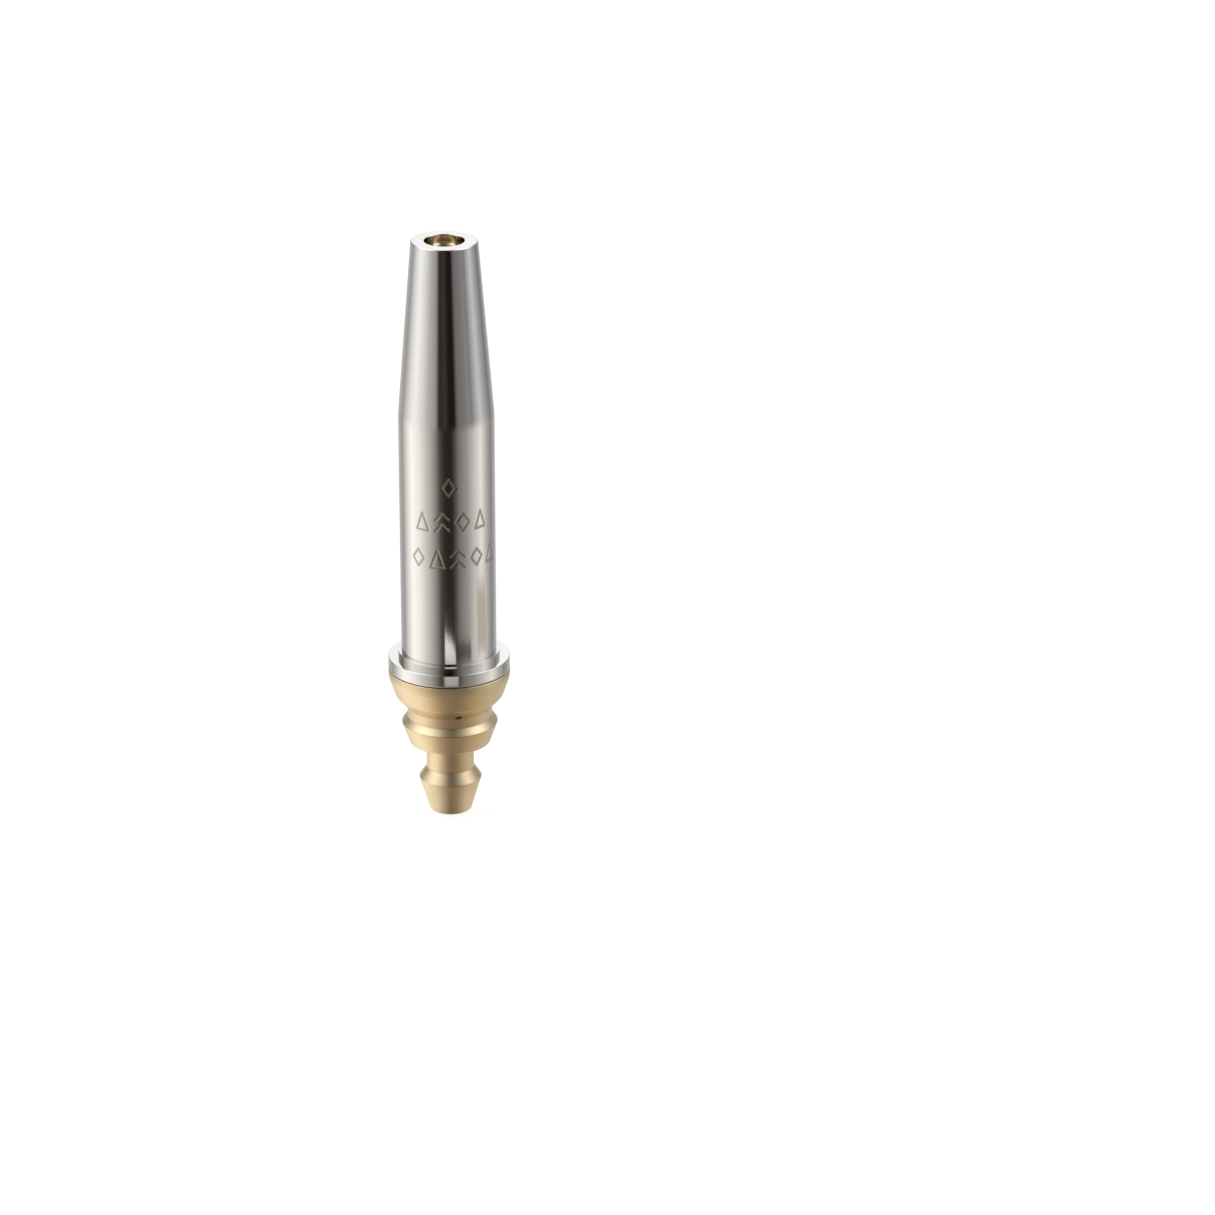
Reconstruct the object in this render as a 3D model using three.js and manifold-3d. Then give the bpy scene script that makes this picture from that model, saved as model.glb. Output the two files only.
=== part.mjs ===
// Two-piece oxy-LPG cutting nozzle with three tapered seats, for a nozzle-mixing cutter head.
// A plated outer sleeve slides over a brass core, which is a seat head with a fluted spindle pressed into it.
// Units are millimetres. The origin is the centre of the seat end's small face, and +Z runs along the
// nozzle's axis to the flame end. -Y is the front, where the sleeve is marked.
import * as THREE from "three";
import { mergeVertices } from "three/addons/utils/BufferGeometryUtils.js";
import Module from "manifold-3d";

const wasm = await Module();
wasm.setup();

// The outside of the whole nozzle.
const TOTAL_LENGTH = 90.8;
const BARREL_R = 7.2;
const TIP_R = 5;
const COLLAR_R = 9.22;
const TAPER_LENGTH = 27;
const JOINT_Z = 23.2; // where the sleeve rests on the head's flange
const JOINT_GAP = 0.1;
const ROUND_SEGMENTS = 72;
const CHAMFER = 0.2;

// The three seats. Each cone widens from smallR at bottomZ to bigR at topZ.
const OXYGEN_SEAT = { smallR: 3.15, bottomZ: 0, bigR: 4.77, topZ: 5.2 };
const HEATING_SEAT = { smallR: 6.1, bottomZ: 11.1, bigR: 7.3, topZ: 14.35 };
const FUEL_SEAT = { smallR: 8.15, bottomZ: 19, bigR: COLLAR_R, topZ: 21.95 };
const SEAT_RIM = 0.2;

// The grooves between the seats, where the heating oxygen and the fuel gas come in.
const HEATING_NECK = { r: 3.6, bottomZ: 7 };
const FUEL_NECK = { r: 6.43, bottomZ: 15.5, topZ: 17 };

// The head's spigot, which carries the sleeve, and its drillings.
const SPIGOT_R = 5.7;
const SPIGOT_TOP = JOINT_Z + 6;
const SPINDLE_SOCKET_R = 2.65;
const SPINDLE_SOCKET_BOTTOM = 17;
const INLET_R = 1.5;
const PORT_COUNT = 4;
const PORT_CIRCLE_R = 4.6;
const HEATING_PORT_R = 0.6;
const FUEL_PORT = { r: 0.52, mouthR: 6.82, mouthZ: 17.44 }; // drilled inwards from the groove's upper bevel
const FIRST_PORT_ANGLE = THREE.MathUtils.degToRad(-77);
const DRILL_SEGMENTS = 12;
const DRILL_RUN_OUT = 1; // how far a drill's cylinder runs past the metal

// The sleeve's details.
const COLLAR_THICKNESS = 2;
const FOOT_RING = { r: 7.7, height: 0.9 };
const TAPER_BLEND = 1.6; // half the length over which the barrel rounds into its taper
const SLEEVE_FIT = 0.05; // radial clearance on the spigot
const CHAMBER = { r: 5.2, bottomZ: SPIGOT_TOP + 1, topZ: 66 };
const EXIT_BORE = { r: 3, bottomZ: 77 };

// The spindle, from its root in the head to its fluted end in the sleeve's exit bore.
const ROOT_FIT = 0.05;
const SHOULDER = { r: 3.3, height: 1 };
const STEM_R = 2.2;
const FLUTED = { r: 2.93, bottomZ: 78, faceR: 1.75, faceDrop: 0.7 };
const RECESS = 1.8; // how far the spindle's face sits below the sleeve's tip
const FLUTE = { count: 18, width: 0.46, runOut: 1 };
const OXYGEN_BORE = { feedR: 1.4, feedTop: 74, throatR: 0.8, throatBottom: 75, throatTop: 84, exitR: 1.1 };

// A ring turned about Z from a closed loop of [radius, height] points that runs upwards on its outer side.
function turned(loop) {
  const points = [...loop, loop[0]].map(([r, z]) => new THREE.Vector2(r, z));
  return new THREE.LatheGeometry(points, ROUND_SEGMENTS).rotateX(Math.PI / 2);
}

function toSolid(geometry) {
  const bare = geometry.index ? geometry.toNonIndexed() : geometry.clone();
  bare.deleteAttribute("normal");
  bare.deleteAttribute("uv");
  const merged = mergeVertices(bare);
  return new wasm.Manifold(
    new wasm.Mesh({
      numProp: 3,
      vertProperties: merged.attributes.position.array,
      triVerts: new Uint32Array(merged.index.array),
    }),
  );
}

function toGeometry(solid) {
  const mesh = solid.getMesh();
  const indexed = new THREE.BufferGeometry();
  indexed.setAttribute("position", new THREE.BufferAttribute(mesh.vertProperties, 3));
  indexed.setIndex(new THREE.BufferAttribute(mesh.triVerts, 1));
  const faceted = indexed.toNonIndexed();
  faceted.computeVertexNormals();
  return faceted;
}

// A drill's cylinder along +X, from one distance to another from the origin.
function drill(radius, from, to) {
  return new THREE.CylinderGeometry(radius, radius, to - from, DRILL_SEGMENTS)
    .rotateZ(Math.PI / 2)
    .translate((from + to) / 2, 0, 0);
}

// The plated sleeve: collar, foot ring, barrel and taper outside; socket, chamber and exit bore inside.
function sleeveGeometry() {
  const bottom = JOINT_Z + JOINT_GAP;
  const collarTop = bottom + COLLAR_THICKNESS;
  const ringTop = collarTop + FOOT_RING.height;
  const socketR = SPIGOT_R + SLEEVE_FIT;
  const taperBottom = TOTAL_LENGTH - TAPER_LENGTH;
  const taperDrop = ((BARREL_R - TIP_R) / TAPER_LENGTH) * TAPER_BLEND;
  return turned([
    [socketR, bottom],
    [COLLAR_R - CHAMFER, bottom],
    [COLLAR_R, bottom + CHAMFER],
    [COLLAR_R, collarTop - CHAMFER],
    [COLLAR_R - CHAMFER, collarTop],
    [FOOT_RING.r, collarTop],
    [FOOT_RING.r, ringTop],
    [BARREL_R, ringTop],
    [BARREL_R, taperBottom - TAPER_BLEND],
    [BARREL_R - taperDrop / 4, taperBottom],
    [BARREL_R - taperDrop, taperBottom + TAPER_BLEND],
    [TIP_R, TOTAL_LENGTH - CHAMFER],
    [TIP_R - CHAMFER, TOTAL_LENGTH],
    [EXIT_BORE.r, TOTAL_LENGTH],
    [EXIT_BORE.r, EXIT_BORE.bottomZ],
    [CHAMBER.r, CHAMBER.topZ],
    [CHAMBER.r, CHAMBER.bottomZ],
    [socketR, CHAMBER.bottomZ - (socketR - CHAMBER.r)],
  ]);
}

// The head's outside from the seat end up to its spigot, and its stepped bore back down.
function headBlank() {
  return turned([
    [OXYGEN_SEAT.smallR - CHAMFER, OXYGEN_SEAT.bottomZ],
    [OXYGEN_SEAT.smallR, OXYGEN_SEAT.bottomZ + CHAMFER],
    [OXYGEN_SEAT.bigR, OXYGEN_SEAT.topZ],
    [OXYGEN_SEAT.bigR, OXYGEN_SEAT.topZ + SEAT_RIM],
    [HEATING_NECK.r, HEATING_NECK.bottomZ],
    [HEATING_NECK.r, HEATING_SEAT.bottomZ],
    [HEATING_SEAT.smallR - CHAMFER, HEATING_SEAT.bottomZ],
    [HEATING_SEAT.smallR, HEATING_SEAT.bottomZ + CHAMFER],
    [HEATING_SEAT.bigR, HEATING_SEAT.topZ],
    [HEATING_SEAT.bigR, HEATING_SEAT.topZ + SEAT_RIM],
    [FUEL_NECK.r, FUEL_NECK.bottomZ],
    [FUEL_NECK.r, FUEL_NECK.topZ],
    [FUEL_SEAT.smallR - CHAMFER, FUEL_SEAT.bottomZ - CHAMFER],
    [FUEL_SEAT.smallR, FUEL_SEAT.bottomZ + CHAMFER],
    [FUEL_SEAT.bigR, FUEL_SEAT.topZ],
    [COLLAR_R, JOINT_Z - CHAMFER],
    [COLLAR_R - CHAMFER, JOINT_Z],
    [SPIGOT_R, JOINT_Z],
    [SPIGOT_R, SPIGOT_TOP - CHAMFER],
    [SPIGOT_R - CHAMFER, SPIGOT_TOP],
    [SPINDLE_SOCKET_R, SPIGOT_TOP],
    [SPINDLE_SOCKET_R, SPINDLE_SOCKET_BOTTOM],
    [INLET_R, SPINDLE_SOCKET_BOTTOM],
    [INLET_R, OXYGEN_SEAT.bottomZ],
  ]);
}

// Each heating-oxygen port runs straight up through the head. A fuel port slants in from the bevel above
// the fuel groove and meets it, so that the gases start to mix there.
function headGeometry() {
  let head = toSolid(headBlank());
  const slant = Math.PI / 4;
  const fuelDepth = (FUEL_PORT.mouthR - PORT_CIRCLE_R) / Math.cos(slant);
  for (let i = 0; i < PORT_COUNT; i++) {
    const angle = FIRST_PORT_ANGLE + (i * 2 * Math.PI) / PORT_COUNT;
    const heating = drill(HEATING_PORT_R, HEATING_SEAT.bottomZ - DRILL_RUN_OUT, SPIGOT_TOP + DRILL_RUN_OUT)
      .rotateY(-Math.PI / 2)
      .translate(PORT_CIRCLE_R, 0, 0)
      .rotateZ(angle);
    const fuel = drill(FUEL_PORT.r, -fuelDepth, DRILL_RUN_OUT)
      .rotateY(slant)
      .translate(FUEL_PORT.mouthR, 0, FUEL_PORT.mouthZ)
      .rotateZ(angle);
    head = head.subtract(toSolid(heating)).subtract(toSolid(fuel));
  }
  return toGeometry(head);
}

// The spindle: a root in the head's socket, a shoulder, a thin stem, and a fluted end that fills the
// sleeve's exit bore. The cutting oxygen runs up its stepped bore, and the heating flames leave its flutes.
function spindleGeometry() {
  const root = SPINDLE_SOCKET_BOTTOM + JOINT_GAP;
  const rootR = SPINDLE_SOCKET_R - ROOT_FIT;
  const shoulderBottom = SPIGOT_TOP + JOINT_GAP;
  const shoulderTop = shoulderBottom + SHOULDER.height;
  const face = TOTAL_LENGTH - RECESS;
  const blank = turned([
    [OXYGEN_BORE.feedR, root],
    [rootR, root],
    [rootR, shoulderBottom],
    [SHOULDER.r, shoulderBottom],
    [SHOULDER.r, shoulderTop],
    [STEM_R, shoulderTop],
    [STEM_R, FLUTED.bottomZ - (FLUTED.r - STEM_R)],
    [FLUTED.r, FLUTED.bottomZ],
    [FLUTED.r, face - FLUTED.faceDrop],
    [FLUTED.faceR, face],
    [OXYGEN_BORE.exitR, face],
    [OXYGEN_BORE.throatR, OXYGEN_BORE.throatTop],
    [OXYGEN_BORE.throatR, OXYGEN_BORE.throatBottom],
    [OXYGEN_BORE.feedR, OXYGEN_BORE.feedTop],
  ]);
  let spindle = toSolid(blank);
  const fluteBottom = FLUTED.bottomZ - FLUTE.runOut;
  const fluteLength = face + FLUTE.runOut - fluteBottom;
  for (let i = 0; i < FLUTE.count; i++) {
    const flute = new THREE.BoxGeometry(FLUTED.r, FLUTE.width, fluteLength)
      .translate(STEM_R + FLUTED.r / 2, 0, fluteBottom + fluteLength / 2)
      .rotateZ((i * 2 * Math.PI) / FLUTE.count);
    spindle = spindle.subtract(toSolid(flute));
  }
  return toGeometry(spindle);
}

function part(name, geometry, material) {
  const mesh = new THREE.Mesh(geometry, material);
  mesh.name = name;
  return mesh;
}

const chrome = new THREE.MeshStandardMaterial({ color: 0xd9d4cf, roughness: 0.08, metalness: 1 });
const turnedBrass = new THREE.MeshStandardMaterial({ color: 0xc9a56b, roughness: 0.3, metalness: 1 });
const brightBrass = new THREE.MeshStandardMaterial({ color: 0xcfae74, roughness: 0.2, metalness: 1 });

const nozzle = new THREE.Group();
nozzle.add(
  part("outer_sleeve", sleeveGeometry(), chrome),
  part("seat_head", headGeometry(), turnedBrass),
  part("fluted_spindle", spindleGeometry(), brightBrass),
);

export default nozzle;
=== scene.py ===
import bpy
import math
import numpy as np
from mathutils import Matrix, Vector


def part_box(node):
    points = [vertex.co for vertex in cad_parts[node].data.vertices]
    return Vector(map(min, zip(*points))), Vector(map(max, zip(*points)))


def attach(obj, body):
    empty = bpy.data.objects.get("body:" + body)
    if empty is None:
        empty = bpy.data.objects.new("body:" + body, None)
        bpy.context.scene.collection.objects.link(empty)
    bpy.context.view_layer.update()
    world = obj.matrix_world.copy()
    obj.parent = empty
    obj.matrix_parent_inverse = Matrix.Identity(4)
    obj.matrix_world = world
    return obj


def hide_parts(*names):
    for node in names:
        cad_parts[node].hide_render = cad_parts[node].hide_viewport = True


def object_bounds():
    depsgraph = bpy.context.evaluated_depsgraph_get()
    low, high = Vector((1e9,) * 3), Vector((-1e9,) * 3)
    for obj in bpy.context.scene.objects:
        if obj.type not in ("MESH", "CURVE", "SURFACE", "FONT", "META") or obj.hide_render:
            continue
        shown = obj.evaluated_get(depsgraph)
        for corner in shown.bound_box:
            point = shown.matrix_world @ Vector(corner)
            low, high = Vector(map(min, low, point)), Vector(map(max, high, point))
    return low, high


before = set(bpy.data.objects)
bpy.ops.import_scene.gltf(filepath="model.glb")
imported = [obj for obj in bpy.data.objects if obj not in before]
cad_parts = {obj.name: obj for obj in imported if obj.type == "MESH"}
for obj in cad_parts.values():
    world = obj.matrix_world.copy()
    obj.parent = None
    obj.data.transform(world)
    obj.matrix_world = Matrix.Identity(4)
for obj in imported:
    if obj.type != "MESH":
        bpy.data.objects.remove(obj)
cad_low, cad_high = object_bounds()
MM = 0.001

# ---------------------------------------------------------------- driving dimensions
sleeve_low, sleeve_high = (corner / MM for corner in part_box("outer_sleeve"))
head_low, head_high = (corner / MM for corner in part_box("seat_head"))
spindle_low, spindle_high = (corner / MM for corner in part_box("fluted_spindle"))

FRONT = math.radians(-90)

# The sleeve.
COLLAR_R = sleeve_high.x
COLLAR_BOTTOM = sleeve_low.z
COLLAR_TOP = COLLAR_BOTTOM + 2.0
RING_R = 7.7
RING_TOP = COLLAR_TOP + 0.9
BARREL_R = 7.2
TIP_R = 5.0
TIP_Z = sleeve_high.z
TAPER_BOTTOM = TIP_Z - 27.0
TAPER_BLEND_R = 22.0
SOCKET_R = 5.75
CHAMBER_R = 5.2
CHAMBER_TOP = 66.0
EXIT_R = 3.0
EXIT_BOTTOM = 77.0

# The head. Each seat is a cone from its small rim to its big one, given as (radius, height).
OXYGEN_SEAT = (3.15, head_low.z), (4.77, 5.3)
HEATING_NECK_R = 3.6
HEATING_NECK_BOTTOM = 7.0
HEATING_SEAT = (6.1, 11.1), (7.3, 14.45)
FUEL_NECK_R = 6.43
FUEL_NECK = 15.5, 17.0
FUEL_SEAT = (8.2, 19.0), (COLLAR_R, 21.95)
FLANGE_Z = COLLAR_BOTTOM - 0.1
SPIGOT_R = 5.7
SPIGOT_TOP = head_high.z
SPINDLE_SOCKET_R = 2.65
SPINDLE_SOCKET_BOTTOM = 17.0
INLET_R = 1.5

# The spindle.
ROOT_R = 2.6
SHOULDER_R = 3.3
SHOULDER_BOTTOM = SPIGOT_TOP + 0.1
SHOULDER_TOP = SHOULDER_BOTTOM + 1.0
STEM_R = 2.2
STEM_TOP = 77.27
FLUTED_R = 2.93
FLUTED_BOTTOM = 78.0
FACE_R = 1.75
FACE_DROP = 0.7
FACE_RINGS = 2.75, 2.55, 2.35, 2.21, 2.19, 2.0  # radii of the points on the sloping face
FEED_R = 1.4
FEED_TOP = 74.0
THROAT_R = 0.8
THROAT = 75.0, 84.0
MOUTH_R = 1.1


# ---------------------------------------------------------------- mesh helpers
def rounded(corners, steps=5):
    """A closed loop of (radius, height) points from (radius, height, fillet) corners.
    Each fillet gets an arc, and a support point just outside each of its ends keeps the flats flat."""
    loop = []
    count = len(corners)
    for i, (r, z, fillet) in enumerate(corners):
        here = np.array([r, z], float)
        before = np.array(corners[i - 1][:2], float) - here
        after = np.array(corners[(i + 1) % count][:2], float) - here
        if fillet <= 0:
            loop.append(tuple(here))
            continue
        len_before, len_after = np.linalg.norm(before), np.linalg.norm(after)
        before, after = before / len_before, after / len_after
        half = math.acos(max(-1.0, min(1.0, float(before @ after)))) / 2
        reach = min(fillet / math.tan(half), 0.45 * len_before, 0.45 * len_after)
        radius = reach * math.tan(half)
        start, end = here + before * reach, here + after * reach
        middle = here + (before + after) / np.linalg.norm(before + after) * radius / math.sin(half)
        support = min(0.1 * reach + 0.02, 0.02 * min(len_before, len_after))
        loop.append(tuple(start + before * support))
        angle_0 = math.atan2(*(start - middle)[::-1])
        angle_1 = math.atan2(*(end - middle)[::-1])
        sweep = (angle_1 - angle_0 + math.pi) % (2 * math.pi) - math.pi
        for k in range(steps + 1):
            angle = angle_0 + sweep * k / steps
            loop.append(tuple(middle + radius * np.array([math.cos(angle), math.sin(angle)])))
        loop.append(tuple(end + after * support))
    return loop


def grid_mesh(name, radii, heights, angles):
    """A closed ring mesh from two arrays [profile point, angle] and the angles. Faces look outwards."""
    rows, columns = radii.shape
    x = radii * np.cos(angles)[None, :]
    y = radii * np.sin(angles)[None, :]
    points = np.stack([x, y, heights], axis=-1).reshape(-1, 3) * MM
    i, j = np.meshgrid(np.arange(rows), np.arange(columns), indexing="ij")
    i_next, j_next = (i + 1) % rows, (j + 1) % columns
    quads = np.stack(
        [i * columns + j, i * columns + j_next, i_next * columns + j_next, i_next * columns + j], axis=-1
    ).reshape(-1, 4)
    mesh = bpy.data.meshes.new(name)
    mesh.from_pydata(points.tolist(), [], quads.tolist())
    mesh.polygons.foreach_set("use_smooth", [True] * len(mesh.polygons))
    mesh.update()
    piece = bpy.data.objects.new(name, mesh)
    bpy.context.scene.collection.objects.link(piece)
    return piece


def smooth_step(edge_0, edge_1, value):
    t = np.clip((value - edge_0) / (edge_1 - edge_0), 0, 1)
    return t * t * (3 - 2 * t)


# ---------------------------------------------------------------- the sleeve and its engraved marks
# Plain geometric marks in a box 2 wide and 2 high, as strokes from point to point.
MARKS = {
    "triangle": [[(-1, -1), (1, -1), (0, 1), (-1, -1)]],
    "diamond": [[(0, -1), (1, 0), (0, 1), (-1, 0), (0, -1)]],
    "chevrons": [[(-1, -1), (0, -0.25), (1, -1)], [(-1, 0.25), (0, 1), (1, 0.25)]],
}
MARK_ROWS = [  # height of the row's middle, azimuth of its middle in degrees, marks from left to right
    (54.5, 3.5, ["diamond"]),
    (49.1, 7.5, ["triangle", "chevrons", "diamond", "triangle"]),
    (43.2, 13.5, ["diamond", "triangle", "chevrons", "diamond", "triangle"]),
]
MARK_PITCH = 24.5
MARK_WIDTH = 2.0
MARK_HEIGHT = 2.7
STROKE_HALF = 0.26
STROKE_DEPTH = 0.03
MARKED_MARGIN = 0.6  # how far the fine mesh reaches past the marks
MARKED_STEP = 0.085  # its pitch up the barrel
MARKED_AZIMUTHS = -62, 92, 0.62  # its start, end and pitch round the barrel, in degrees from the front
PLAIN_COLUMNS = 120  # the coarser mesh round the rest


def stroke_segments():
    """Every stroke of every mark as two points on the unrolled barrel: arc length from the front, height."""
    segments = []
    for middle_z, middle_azimuth, names in MARK_ROWS:
        for k, name in enumerate(names):
            azimuth = math.radians(middle_azimuth + (k - (len(names) - 1) / 2) * MARK_PITCH)
            centre = np.array([azimuth * BARREL_R, middle_z])
            scale = np.array([MARK_WIDTH / 2, MARK_HEIGHT / 2])
            for stroke in MARKS[name]:
                points = [centre + scale * np.array(point) for point in stroke]
                segments += list(zip(points[:-1], points[1:]))
    return segments


def engraving(arc_length, height):
    """How deep the marks cut at each point, from 0 to 1."""
    nearest = np.full(arc_length.shape, 1e9)
    for a, b in stroke_segments():
        along = b - a
        t = ((arc_length - a[0]) * along[0] + (height - a[1]) * along[1]) / (along @ along)
        t = np.clip(t, 0, 1)
        distance = np.hypot(arc_length - a[0] - t * along[0], height - a[1] - t * along[1])
        nearest = np.minimum(nearest, distance)
    return 1 - smooth_step(0.3 * STROKE_HALF, STROKE_HALF, nearest)


def add_attribute(piece, name, values):
    attribute = piece.data.attributes.new(name, "FLOAT", "POINT")
    attribute.data.foreach_set("value", np.asarray(values, np.float32).ravel())


def is_bore(profile):
    """Which profile points lie in the bore above the collar, whose plate is tinted with a painted reflection
    of the brass.
    """
    radius, height = profile.T
    below_tip = height < TIP_Z - 0.12
    within = (radius < SOCKET_R + 0.3) & (height > COLLAR_TOP)
    off_taper = (radius < TIP_R - 0.5) | (height < CHAMBER_TOP + 4)
    return within & below_tip & off_taper


def build_sleeve():
    """The sleeve with its engraving. It is meshed finely only where the marks are."""
    marks_low = MARK_ROWS[-1][0] - MARK_HEIGHT / 2 - MARKED_MARGIN
    marks_high = MARK_ROWS[0][0] + MARK_HEIGHT / 2 + MARKED_MARGIN
    loop = rounded([
        (SOCKET_R, COLLAR_BOTTOM, 0.15),
        (COLLAR_R, COLLAR_BOTTOM, 0.25),
        (COLLAR_R, COLLAR_TOP, 0.08),
        (RING_R, COLLAR_TOP, 0),
        (RING_R, RING_TOP, 0.03),
        (BARREL_R, RING_TOP, 0),
        (BARREL_R, marks_low, 0),
        *[(BARREL_R, z, 0) for z in np.arange(marks_low + MARKED_STEP, marks_high, MARKED_STEP)],
        (BARREL_R, marks_high, 0),
        (BARREL_R, TAPER_BOTTOM, TAPER_BLEND_R),
        (TIP_R, TIP_Z, 0.2),
        (EXIT_R, TIP_Z, 0.1),
        (EXIT_R, EXIT_BOTTOM, 0.3),
        (CHAMBER_R, CHAMBER_TOP, 0.5),
        (CHAMBER_R, SPIGOT_TOP + 1, 0.1),
        (SOCKET_R, SPIGOT_TOP + 0.45, 0.1),
    ])
    marked = np.radians(np.arange(*MARKED_AZIMUTHS)) + FRONT
    plain = np.linspace(marked[-1], marked[0] + 2 * math.pi, PLAIN_COLUMNS)[1:-1]
    angles = np.concatenate([marked, plain])
    profile = np.array(loop)
    arc_length = np.repeat((angles - FRONT)[None, :] * BARREL_R, len(profile), axis=0)
    height = np.repeat(profile[:, 1:], len(angles), axis=1)
    on_barrel = (np.abs(profile[:, 0] - BARREL_R) < 0.01)[:, None]
    cut = np.where(on_barrel, engraving(arc_length, height), 0)
    piece = grid_mesh("sleeve", profile[:, :1] - STROKE_DEPTH * cut, height, angles)
    add_attribute(piece, "engraved", cut)
    add_attribute(piece, "bore", np.repeat(is_bore(profile), len(angles)))
    piece.data.set_sharp_from_angle(angle=math.radians(40))
    return piece


# ---------------------------------------------------------------- the seat head and its ports
PORT_COUNT = 4
PORT_CIRCLE_R = 4.6
HEATING_PORT_R = 0.6
FUEL_PORT_R = 0.52
FUEL_MOUTH = (6.82, 17.44)
FIRST_PORT = math.radians(-77)
HEAD_COLUMNS = 288
RUN_OUT = 1.0  # how far a drill runs past the metal


def cutters(name, radius, start, end, sides=32):
    """PORT_COUNT round bars from start to end, two (radius, height) points, as one mesh."""
    points, faces = [], []
    for k in range(PORT_COUNT):
        azimuth = FIRST_PORT + k * 2 * math.pi / PORT_COUNT
        outwards = Vector((math.cos(azimuth), math.sin(azimuth), 0))
        a = outwards * start[0] + Vector((0, 0, start[1]))
        b = outwards * end[0] + Vector((0, 0, end[1]))
        turn = (b - a).to_track_quat("Z", "Y")
        first = len(points)
        for centre in (a, b):
            for s in range(sides):
                angle = 2 * math.pi * s / sides
                rim = turn @ Vector((radius * math.cos(angle), radius * math.sin(angle), 0))
                points.append((centre + rim) * MM)
        low, high = range(first, first + sides), range(first + sides, first + 2 * sides)
        faces += [tuple(reversed(low)), tuple(high)]
        faces += [(low[s], low[(s + 1) % sides], high[(s + 1) % sides], high[s]) for s in range(sides)]
    mesh = bpy.data.meshes.new(name)
    mesh.from_pydata(points, [], faces)
    cutter = bpy.data.objects.new(name, mesh)
    bpy.context.scene.collection.objects.link(cutter)
    return cutter


def cut_away(piece, cutter):
    """Cuts the cutter's solid from the piece for good, and removes the cutter."""
    boolean = piece.modifiers.new("cut", "BOOLEAN")
    boolean.operation = "DIFFERENCE"
    boolean.solver = "EXACT"
    boolean.object = cutter
    result = bpy.data.meshes.new_from_object(piece.evaluated_get(bpy.context.evaluated_depsgraph_get()))
    piece.modifiers.clear()
    piece.data = result
    bpy.data.objects.remove(cutter)


def build_head():
    loop = rounded([
        (INLET_R, head_low.z, 0.2),
        (*OXYGEN_SEAT[0], 0.25),
        (*OXYGEN_SEAT[1], 0.22),
        (HEATING_NECK_R, HEATING_NECK_BOTTOM, 0.35),
        (HEATING_NECK_R, HEATING_SEAT[0][1], 0.18),
        (*HEATING_SEAT[0], 0.45),
        (*HEATING_SEAT[1], 0.25),
        (FUEL_NECK_R, FUEL_NECK[0], 0.25),
        (FUEL_NECK_R, FUEL_NECK[1], 0.2),
        (*FUEL_SEAT[0], 0.5),
        (*FUEL_SEAT[1], 3.5),
        (COLLAR_R, FLANGE_Z, 0.15),
        (SPIGOT_R, FLANGE_Z, 0.1),
        (SPIGOT_R, SPIGOT_TOP, 0.2),
        (SPINDLE_SOCKET_R, SPIGOT_TOP, 0.1),
        (SPINDLE_SOCKET_R, SPINDLE_SOCKET_BOTTOM, 0.1),
        (INLET_R, SPINDLE_SOCKET_BOTTOM, 0.1),
    ])
    profile = np.array(loop)
    angles = np.linspace(-math.pi, math.pi, HEAD_COLUMNS, endpoint=False)
    radii = np.repeat(profile[:, :1], len(angles), axis=1)
    heights = np.repeat(profile[:, 1:], len(angles), axis=1)
    piece = grid_mesh("head", radii, heights, angles)
    heating_start = (PORT_CIRCLE_R, HEATING_SEAT[0][1] - RUN_OUT)
    heating_end = (PORT_CIRCLE_R, SPIGOT_TOP + RUN_OUT)
    cut_away(piece, cutters("heating", HEATING_PORT_R, heating_start, heating_end))
    depth = FUEL_MOUTH[0] - PORT_CIRCLE_R
    fuel_start = (FUEL_MOUTH[0] + RUN_OUT, FUEL_MOUTH[1] - RUN_OUT)
    fuel_end = (PORT_CIRCLE_R, FUEL_MOUTH[1] + depth)
    cut_away(piece, cutters("fuel", FUEL_PORT_R, fuel_start, fuel_end))
    piece.data.set_sharp_from_angle(angle=math.radians(40))
    return piece


# ---------------------------------------------------------------- the fluted spindle
FLUTE_COUNT = 18
FLUTE_WIDTH = 0.46
FLUTE_MID_R = 2.6  # the radius at which a flute has that width
FLUTE_WALL = 0.006  # the angle, in radians, over which a flute's side drops to its floor
FLUTES_BOTTOM = 77.0


def build_spindle():
    face = spindle_high.z
    slope = FACE_DROP / (FLUTED_R - FACE_R)
    loop = rounded([
        (FEED_R, spindle_low.z, 0.1),
        (ROOT_R, spindle_low.z, 0.15),
        (ROOT_R, SHOULDER_BOTTOM, 0.05),
        (SHOULDER_R, SHOULDER_BOTTOM, 0.1),
        (SHOULDER_R, SHOULDER_TOP, 0.15),
        (STEM_R, SHOULDER_TOP, 0.2),
        (STEM_R, STEM_TOP, 0.3),
        (FLUTED_R, FLUTED_BOTTOM, 0.2),
        (FLUTED_R, face - FACE_DROP, 0.1),
        *[(r, face - slope * (r - FACE_R), 0) for r in FACE_RINGS],
        (FACE_R, face, 0.12),
        (MOUTH_R, face, 0.08),
        (THROAT_R, THROAT[1], 0.2),
        (THROAT_R, THROAT[0], 0.1),
        (FEED_R, FEED_TOP, 0.1),
    ])
    pitch = 2 * math.pi / FLUTE_COUNT
    half = FLUTE_WIDTH / 2 / FLUTE_MID_R
    across = np.concatenate([
        np.linspace(-half + FLUTE_WALL, half - FLUTE_WALL, 5),
        np.linspace(half + FLUTE_WALL, pitch - half - FLUTE_WALL, 7),
    ])
    angles = np.concatenate([across + k * pitch for k in range(FLUTE_COUNT)])
    in_flute = np.abs((angles + pitch / 2) % pitch - pitch / 2) < half
    profile = np.array(loop)
    fluted = profile[:, 1] > FLUTES_BOTTOM
    floor_r = STEM_R - 0.005
    limit = np.where(fluted[:, None] & in_flute[None, :], floor_r, np.inf)
    radii = np.minimum(profile[:, :1], limit)
    heights = np.repeat(profile[:, 1:], len(angles), axis=1)
    piece = grid_mesh("spindle", radii, heights, angles)
    piece.data.set_sharp_from_angle(angle=math.radians(40))
    return piece


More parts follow.
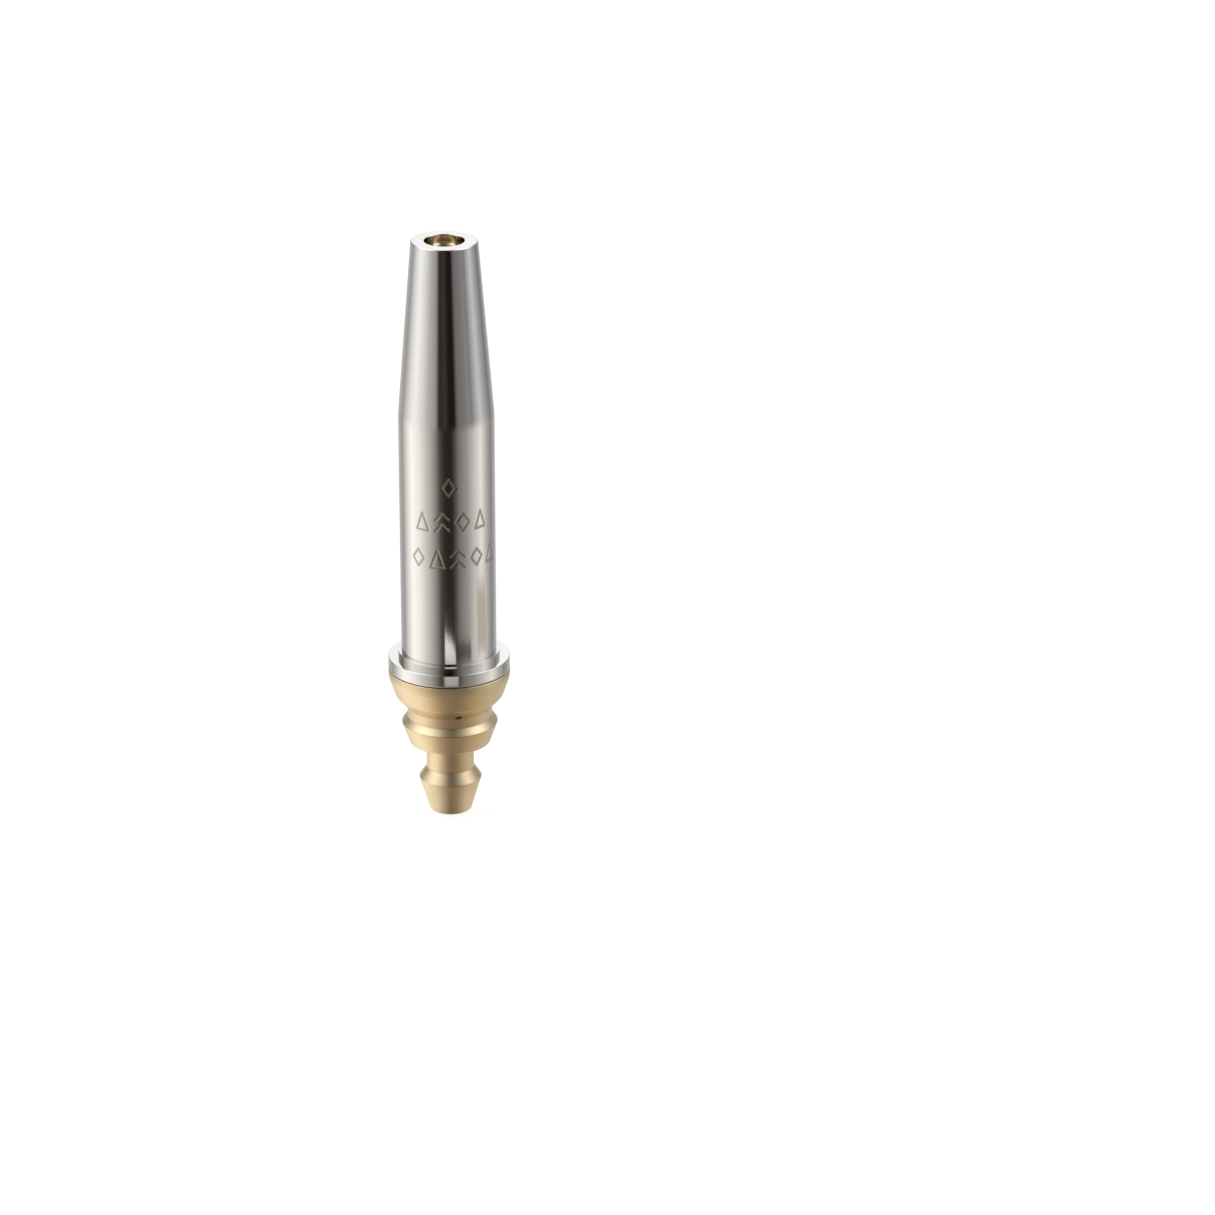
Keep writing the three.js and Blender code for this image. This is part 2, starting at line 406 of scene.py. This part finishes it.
# ---------------------------------------------------------------- materials
def new_material(name):
    material = bpy.data.materials.new(name)
    material.use_nodes = True
    nodes, links = material.node_tree.nodes, material.node_tree.links
    return material, nodes, links, nodes["Principled BSDF"]


def stretched_noise(nodes, links, stretch, scale, detail=3.0):
    """Noise in object space, drawn out along the axes where stretch is small."""
    place = nodes.new("ShaderNodeTexCoord")
    mapping = nodes.new("ShaderNodeMapping")
    mapping.inputs["Scale"].default_value = stretch
    noise = nodes.new("ShaderNodeTexNoise")
    noise.inputs["Scale"].default_value = scale
    noise.inputs["Detail"].default_value = detail
    links.new(place.outputs["Object"], mapping.inputs["Vector"])
    links.new(mapping.outputs["Vector"], noise.inputs["Vector"])
    return noise


def ranged(nodes, links, source, low, high, from_low=0.3, from_high=0.7):
    spread = nodes.new("ShaderNodeMapRange")
    spread.inputs["From Min"].default_value = from_low
    spread.inputs["From Max"].default_value = from_high
    spread.inputs["To Min"].default_value = low
    spread.inputs["To Max"].default_value = high
    links.new(source, spread.inputs["Value"])
    return spread.outputs["Result"]


def mixed(nodes, links, factor, a, b):
    mix = nodes.new("ShaderNodeMix")
    mix.data_type = "RGBA"
    for socket, value in ((mix.inputs[6], a), (mix.inputs[7], b)):
        if isinstance(value, bpy.types.NodeSocket):
            links.new(value, socket)
        else:
            socket.default_value = (*value, 1)
    links.new(factor, mix.inputs[0])
    return mix.outputs[2]


def added_bump(nodes, links, height, strength, distance, normal=None):
    bump = nodes.new("ShaderNodeBump")
    bump.inputs["Strength"].default_value = strength
    bump.inputs["Distance"].default_value = distance
    links.new(height, bump.inputs["Height"])
    if normal is not None:
        links.new(normal, bump.inputs["Normal"])
    return bump.outputs["Normal"]


def attribute_value(nodes, name):
    node = nodes.new("ShaderNodeAttribute")
    node.attribute_name = name
    return node.outputs["Fac"]


PLATE_LIGHT = (0.86, 0.845, 0.83)
PLATE_DARK = (0.82, 0.80, 0.785)
# Painted reflection: a warm, darker tint that stands in for the brass spindle mirrored in the bore.
BORE_REFLECTION_TINT = (0.76, 0.69, 0.59)
ENGRAVED = (0.52, 0.47, 0.43)
ENGRAVED_ROUGHNESS = 0.42


def chrome_material():
    """Bright plating over turned copper: faint turning lines and soft stains show through the polish.
    The bore is tinted warmer and darker as a painted reflection of the brass spindle, its turning lines show
    more strongly, and the engraving is matt."""
    material, nodes, links, shader = new_material("chrome_plate")
    stains = stretched_noise(nodes, links, (1, 1, 0.5), 160)
    lines = stretched_noise(nodes, links, (1, 1, 40), 220, 2)
    engraved = attribute_value(nodes, "engraved")
    bore = attribute_value(nodes, "bore")
    cloud = ranged(nodes, links, stains.outputs["Fac"], 0, 1)
    plate = mixed(nodes, links, cloud, PLATE_LIGHT, PLATE_DARK)
    # The bore's plate takes the painted reflection of the brass.
    colour = mixed(nodes, links, bore, plate, BORE_REFLECTION_TINT)
    colour = mixed(nodes, links, engraved, colour, ENGRAVED)
    links.new(colour, shader.inputs["Base Color"])
    polish = ranged(nodes, links, stains.outputs["Fac"], 0.07, 0.12)
    roughness = nodes.new("ShaderNodeMix")
    links.new(engraved, roughness.inputs[0])
    links.new(polish, roughness.inputs[2])
    roughness.inputs[3].default_value = ENGRAVED_ROUGHNESS
    links.new(roughness.outputs[0], shader.inputs["Roughness"])
    turned = nodes.new("ShaderNodeBump")
    turned.inputs["Distance"].default_value = 0.00002
    links.new(ranged(nodes, links, bore, 0.04, 0.5, 0, 1), turned.inputs["Strength"])
    links.new(lines.outputs["Fac"], turned.inputs["Height"])
    links.new(turned.outputs["Normal"], shader.inputs["Normal"])
    shader.inputs["Metallic"].default_value = 1.0
    return material


SEAT_COLOURS = (0.88, 0.715, 0.465), (0.82, 0.655, 0.42)  # clean, tarnished
SEAT_ROUGHNESS = 0.34, 0.42
SPINDLE_COLOURS = (0.89, 0.72, 0.47), (0.82, 0.65, 0.41)
SPINDLE_ROUGHNESS = 0.20, 0.28


def brass_material(name, light, dark, rough_low, rough_high, line_strength):
    """Turned brass: fine rings from the tool, a thin uneven tarnish and a satin shine."""
    material, nodes, links, shader = new_material(name)
    tarnish = stretched_noise(nodes, links, (1, 1, 0.6), 260)
    rings = stretched_noise(nodes, links, (0.6, 0.6, 30), 300, 3)
    grain = stretched_noise(nodes, links, (1, 1, 1), 4200, 2)
    base = mixed(nodes, links, ranged(nodes, links, tarnish.outputs["Fac"], 0, 1), light, dark)
    shade = ranged(nodes, links, rings.outputs["Fac"], 0, 0.3)
    links.new(mixed(nodes, links, shade, base, dark), shader.inputs["Base Color"])
    links.new(ranged(nodes, links, rings.outputs["Fac"], rough_low, rough_high), shader.inputs["Roughness"])
    turned = added_bump(nodes, links, rings.outputs["Fac"], line_strength, 0.00003)
    links.new(added_bump(nodes, links, grain.outputs["Fac"], 0.03, 0.00002, turned), shader.inputs["Normal"])
    shader.inputs["Metallic"].default_value = 1.0
    return material


# ---------------------------------------------------------------- studio
def display(level, tint=(1.0, 1.0, 1.0)):
    """The linear colour that shows as this grey level, from 0 to 1."""
    return tuple(level ** 2.2 * t for t in tint)


def turned_from_front(nodes, links, vector):
    """The vector's azimuth from the front, 0 to 1 for half a turn to the left to half a turn to the right."""
    axes = nodes.new("ShaderNodeSeparateXYZ")
    links.new(vector, axes.inputs["Vector"])
    forward = nodes.new("ShaderNodeMath")
    forward.operation = "MULTIPLY"
    forward.inputs[1].default_value = -1
    links.new(axes.outputs["Y"], forward.inputs[0])
    azimuth = nodes.new("ShaderNodeMath")
    azimuth.operation = "ARCTAN2"
    links.new(axes.outputs["X"], azimuth.inputs[0])
    links.new(forward.outputs[0], azimuth.inputs[1])
    return ranged(nodes, links, azimuth.outputs[0], 0, 1, -math.pi, math.pi)


def ramp(nodes, stops):
    """A colour ramp round the horizon. Stops are (azimuth in degrees from the front, level, tint)."""
    node = nodes.new("ShaderNodeValToRGB")
    node.color_ramp.interpolation = "LINEAR"
    elements = node.color_ramp.elements
    while len(elements) > 1:
        elements.remove(elements[0])
    for k, (azimuth, level, tint) in enumerate(stops):
        position = azimuth / 360 + 0.5
        element = elements[0] if k == 0 else elements.new(position)
        element.position = position
        element.color = (*display(level, tint), 1)
    return node


# The tints, levels and cards below are fitted to the photographed reflections. Brightness was read off the
# photograph and the render at the same places, the levels were scaled by the ratio, and this was repeated
# a few times and rounded. They suit this one picture and are not a general studio.
PLAIN = (1.0, 1.0, 1.0)
COOL = (0.93, 1.0, 1.08)
WARM = (1.0, 0.965, 0.915)
SAND = (1.0, 0.90, 0.76)
TAN = (1.0, 0.82, 0.64)
BROWN = (1.0, 0.72, 0.58)
FOOT_LIGHTS = [  # the paper right under the nozzle
    (-180, 0.95, PLAIN), (-84, 0.99, PLAIN), (-66, 0.97, PLAIN), (-46, 0.94, WARM), (-23, 0.69, WARM),
    (0, 0.45, TAN), (23, 0.57, TAN), (46, 0.75, WARM), (66, 0.88, WARM), (84, 0.83, PLAIN),
    (180, 0.95, PLAIN),
]
FLOOR_LIGHTS = [  # the paper around it
    (-180, 0.90, PLAIN), (-128, 0.92, PLAIN), (-94, 1.08, PLAIN), (-62, 1.06, WARM), (-31, 0.76, TAN),
    (-12, 0.54, TAN), (4, 0.47, TAN), (31, 0.53, TAN), (62, 0.75, TAN), (96, 0.80, WARM),
    (132, 0.80, PLAIN), (180, 0.90, PLAIN),
]
LOW_LIGHTS = [  # seen by the barrel
    (-180, 0.86, PLAIN), (-150, 0.71, PLAIN), (-130, 0.65, WARM), (-110, 0.92, WARM), (-92, 1.09, WARM),
    (-70, 1.00, WARM), (-50, 0.83, WARM), (-30, 0.61, WARM), (-16, 0.34, TAN), (-6, 0.22, BROWN),
    (4, 0.18, BROWN), (14, 0.20, BROWN), (22, 0.36, TAN), (31, 0.49, WARM), (50, 0.62, WARM),
    (70, 0.81, WARM), (90, 0.96, WARM), (110, 0.73, WARM), (130, 0.55, PLAIN), (150, 0.68, PLAIN),
    (180, 0.86, PLAIN),
]
LEVEL_LIGHTS = [  # seen by the taper
    (-180, 0.85, PLAIN), (-150, 0.75, PLAIN), (-122, 0.60, PLAIN), (-100, 0.90, PLAIN), (-80, 1.03, PLAIN),
    (-60, 0.91, PLAIN), (-42, 0.74, WARM), (-25, 0.62, WARM), (-16, 0.20, BROWN), (-1, 0.26, BROWN),
    (8, 0.15, BROWN), (21, 0.13, BROWN), (30, 0.44, PLAIN), (50, 0.50, PLAIN), (58, 0.55, PLAIN),
    (65, 0.50, PLAIN), (77, 0.68, PLAIN), (90, 0.80, PLAIN), (106, 0.66, PLAIN), (130, 0.45, PLAIN),
    (150, 0.60, PLAIN), (180, 0.85, PLAIN),
]
RAISED_LIGHTS = [  # seen by the tip's face and the collar's upper face
    (-180, 1.04, PLAIN), (-174, 1.00, PLAIN), (-164, 0.72, PLAIN), (-150, 0.55, PLAIN), (-130, 0.42, WARM),
    (-112, 0.80, WARM), (-92, 1.05, WARM), (-70, 0.98, WARM), (-50, 0.80, WARM), (-30, 0.58, WARM),
    (-16, 0.33, TAN), (-6, 0.10, BROWN), (8, 0.08, BROWN), (18, 0.30, TAN), (31, 0.48, WARM),
    (50, 0.62, WARM), (70, 0.86, WARM), (90, 0.98, WARM), (110, 0.73, WARM), (130, 0.52, PLAIN),
    (150, 0.68, PLAIN), (164, 0.77, PLAIN), (174, 1.00, PLAIN), (180, 1.04, PLAIN),
]
HIGH_LIGHTS = [  # seen by the flanks between the seats
    (-180, 1.03, PLAIN), (-150, 1.08, PLAIN), (-132, 1.05, PLAIN), (-112, 1.34, COOL), (-88, 1.52, COOL),
    (-60, 1.25, COOL), (-32, 0.84, PLAIN), (-12, 0.18, TAN), (8, 0.06, TAN), (20, 0.26, TAN),
    (34, 0.44, WARM), (60, 0.90, PLAIN), (88, 1.54, COOL), (110, 1.42, COOL), (132, 0.98, PLAIN),
    (152, 1.02, PLAIN), (180, 1.03, PLAIN),
]
BANDS = [  # lights, and the elevations in degrees between which they take over from those below
    (LOW_LIGHTS, -48, -32),
    (LEVEL_LIGHTS, -18, -12),
    (RAISED_LIGHTS, -4, 8),
    (HIGH_LIGHTS, 28, 42),
]
CROWN_LEVEL = 0.36
CROWN_EDGES = 62, 74
FOOT_R = (7.0, 12.0)  # where the light under the nozzle gives way to the light around it
PAPER_R = 55.0
FLOOR_HALF = 3000.0
FLOOR_GREY = 0.25
FLOOR_GLOW = 0.85
LAYER = 0.1  # from the cards down to the paper, and from the floor down to the cards
FLOOR_GAP = 0.2  # from the nozzle down to the floor
CARDS = [  # on the table in front and to the right: name, level, tint, outline as (azimuth, distance)
    ("bright_gap", 0.97, WARM,
     [(-7.5, 73.4), (5, 73.4), (18, 73.4), (16, 79), (7, 83), (-5, 86), (-7.5, 86)]),
    ("collar_gap", 0.80, WARM, [(-6.5, 67.0), (5, 67.0), (18, 67.0), (18, 71.2), (5, 71.2), (-6.5, 71.2)]),
    ("dark_side", 0.25, BROWN, [(20, 74), (38, 74), (56, 74), (53, 81), (36, 82), (18, 83)]),
    ("tan_side", 0.74, SAND, [(72, 75), (85, 75), (100, 75), (100, 95), (96, 106), (84, 106), (72, 106)]),
]


def build_world():
    """Soft boxes to the left and right, a pale backdrop and a dark room on the camera's side."""
    world = bpy.data.worlds.new("studio")
    bpy.context.scene.world = world
    world.use_nodes = True
    nodes, links = world.node_tree.nodes, world.node_tree.links
    place = nodes.new("ShaderNodeTexCoord")
    axes = nodes.new("ShaderNodeSeparateXYZ")
    links.new(place.outputs["Generated"], axes.inputs["Vector"])
    turn = turned_from_front(nodes, links, place.outputs["Generated"])

    def rise(start, end):
        """How far the view has risen from one elevation in degrees to another, from 0 to 1."""
        edges = math.sin(math.radians(start)), math.sin(math.radians(end))
        return ranged(nodes, links, axes.outputs["Z"], 0, 1, *edges)

    def lights(stops):
        node = ramp(nodes, stops)
        links.new(turn, node.inputs["Fac"])
        return node.outputs["Color"]

    light = lights(FLOOR_LIGHTS)
    for stops, start, end in BANDS:
        light = mixed(nodes, links, rise(start, end), light, lights(stops))
    light = mixed(nodes, links, rise(*CROWN_EDGES), light, display(CROWN_LEVEL, WARM))
    seen = nodes.new("ShaderNodeLightPath")
    backdrop = mixed(nodes, links, seen.outputs["Is Camera Ray"], light, display(1.0))
    links.new(backdrop, nodes["Background"].inputs["Color"])


def flat_object(name, outline, z, material):
    mesh = bpy.data.meshes.new(name)
    mesh.from_pydata([(x * MM, y * MM, z * MM) for x, y in outline], [], [tuple(range(len(outline)))])
    piece = bpy.data.objects.new(name, mesh)
    bpy.context.scene.collection.objects.link(piece)
    piece.data.materials.append(material)
    piece.visible_diffuse = False
    piece.visible_shadow = False
    return piece


def on_table(azimuth, distance):
    """The point at this azimuth in degrees from the front and this distance from the nozzle."""
    angle = math.radians(azimuth) + FRONT
    return distance * math.cos(angle), distance * math.sin(angle)


def glow_material(name, level):
    """A surface that shines evenly in one colour and mirrors nothing."""
    material, nodes, links, shader = new_material(name)
    shader.inputs["Base Color"].default_value = (0, 0, 0, 1)
    shader.inputs["Specular IOR Level"].default_value = 0.0
    shader.inputs["Emission Color"].default_value = (*level, 1)
    shader.inputs["Emission Strength"].default_value = 1.0
    return material, nodes, links, shader


def build_floor():
    """A pale floor for the camera, and below it the lit paper and its cards, which only the metal mirrors."""
    z = cad_low.z / MM - FLOOR_GAP
    material, nodes, links, shader = glow_material("pale_floor", (1, 1, 1))
    shader.inputs["Base Color"].default_value = (FLOOR_GREY, FLOOR_GREY, FLOOR_GREY, 1)
    shader.inputs["Roughness"].default_value = 0.9
    shader.inputs["Emission Strength"].default_value = FLOOR_GLOW
    corners = [(x * FLOOR_HALF, y * FLOOR_HALF) for x, y in ((-1, -1), (1, -1), (1, 1), (-1, 1))]
    floor = flat_object("floor", corners, z, material)
    floor.visible_glossy = False

    material, nodes, links, shader = glow_material("lit_paper", (1, 1, 1))
    place = nodes.new("ShaderNodeTexCoord")
    turn = turned_from_front(nodes, links, place.outputs["Object"])
    foot, around = ramp(nodes, FOOT_LIGHTS), ramp(nodes, FLOOR_LIGHTS)
    links.new(turn, foot.inputs["Fac"])
    links.new(turn, around.inputs["Fac"])
    length = nodes.new("ShaderNodeVectorMath")
    length.operation = "LENGTH"
    links.new(place.outputs["Object"], length.inputs[0])
    away = ranged(nodes, links, length.outputs["Value"], 0, 1, FOOT_R[0] * MM, FOOT_R[1] * MM)
    light = mixed(nodes, links, away, foot.outputs["Color"], around.outputs["Color"])
    links.new(light, shader.inputs["Emission Color"])
    rim = [on_table(azimuth, PAPER_R) for azimuth in range(-180, 180, 8)]
    sheets = [flat_object("paper", rim, z - 2 * LAYER, material)]
    for name, level, tint, outline in CARDS:
        material = glow_material(name, display(level, tint))[0]
        corners = [on_table(azimuth, distance) for azimuth, distance in outline]
        sheets.append(flat_object(name, corners, z - LAYER, material))
    for sheet in sheets:
        sheet.visible_camera = False


# ---------------------------------------------------------------- camera
VIEW_PITCH = math.radians(21.53)
VIEW_DEPTH = 0.8037  # from the camera to the sleeve's joint, along the view
ASIDE = 0.0240  # how far the nozzle stands to the left of the view's middle
BELOW = 0.0089  # how far the joint lies below the view's middle
LENS = 157.0
SENSOR = 36.0


def build_camera():
    data = bpy.data.cameras.new("camera")
    data.lens, data.sensor_width = LENS, SENSOR
    data.clip_start, data.clip_end = 0.01, 20
    camera = bpy.data.objects.new("camera", data)
    bpy.context.scene.collection.objects.link(camera)
    forward = Vector((0, math.cos(VIEW_PITCH), -math.sin(VIEW_PITCH)))
    right = Vector((1, 0, 0))
    up = right.cross(forward)
    joint = Vector((0, 0, FLANGE_Z * MM))
    place = joint + right * ASIDE + up * BELOW - forward * VIEW_DEPTH
    camera.matrix_world = Matrix.Translation(place) @ Matrix((right, up, -forward)).transposed().to_4x4()
    bpy.context.scene.camera = camera


# ---------------------------------------------------------------- putting it together
def finish_piece(piece, node, body, material):
    piece.data.materials.clear()
    piece.data.materials.append(material)
    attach(piece, body)
    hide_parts(node)


build_camera()
build_world()
build_floor()
chrome = chrome_material()
seat_brass = brass_material("seat_brass", *SEAT_COLOURS, *SEAT_ROUGHNESS, 0.12)
spindle_brass = brass_material("spindle_brass", *SPINDLE_COLOURS, *SPINDLE_ROUGHNESS, 0.1)
finish_piece(build_sleeve(), "outer_sleeve", "sleeve", chrome)
finish_piece(build_head(), "seat_head", "core", seat_brass)
finish_piece(build_spindle(), "fluted_spindle", "core", spindle_brass)
bpy.context.scene.view_settings.view_transform = "Standard"
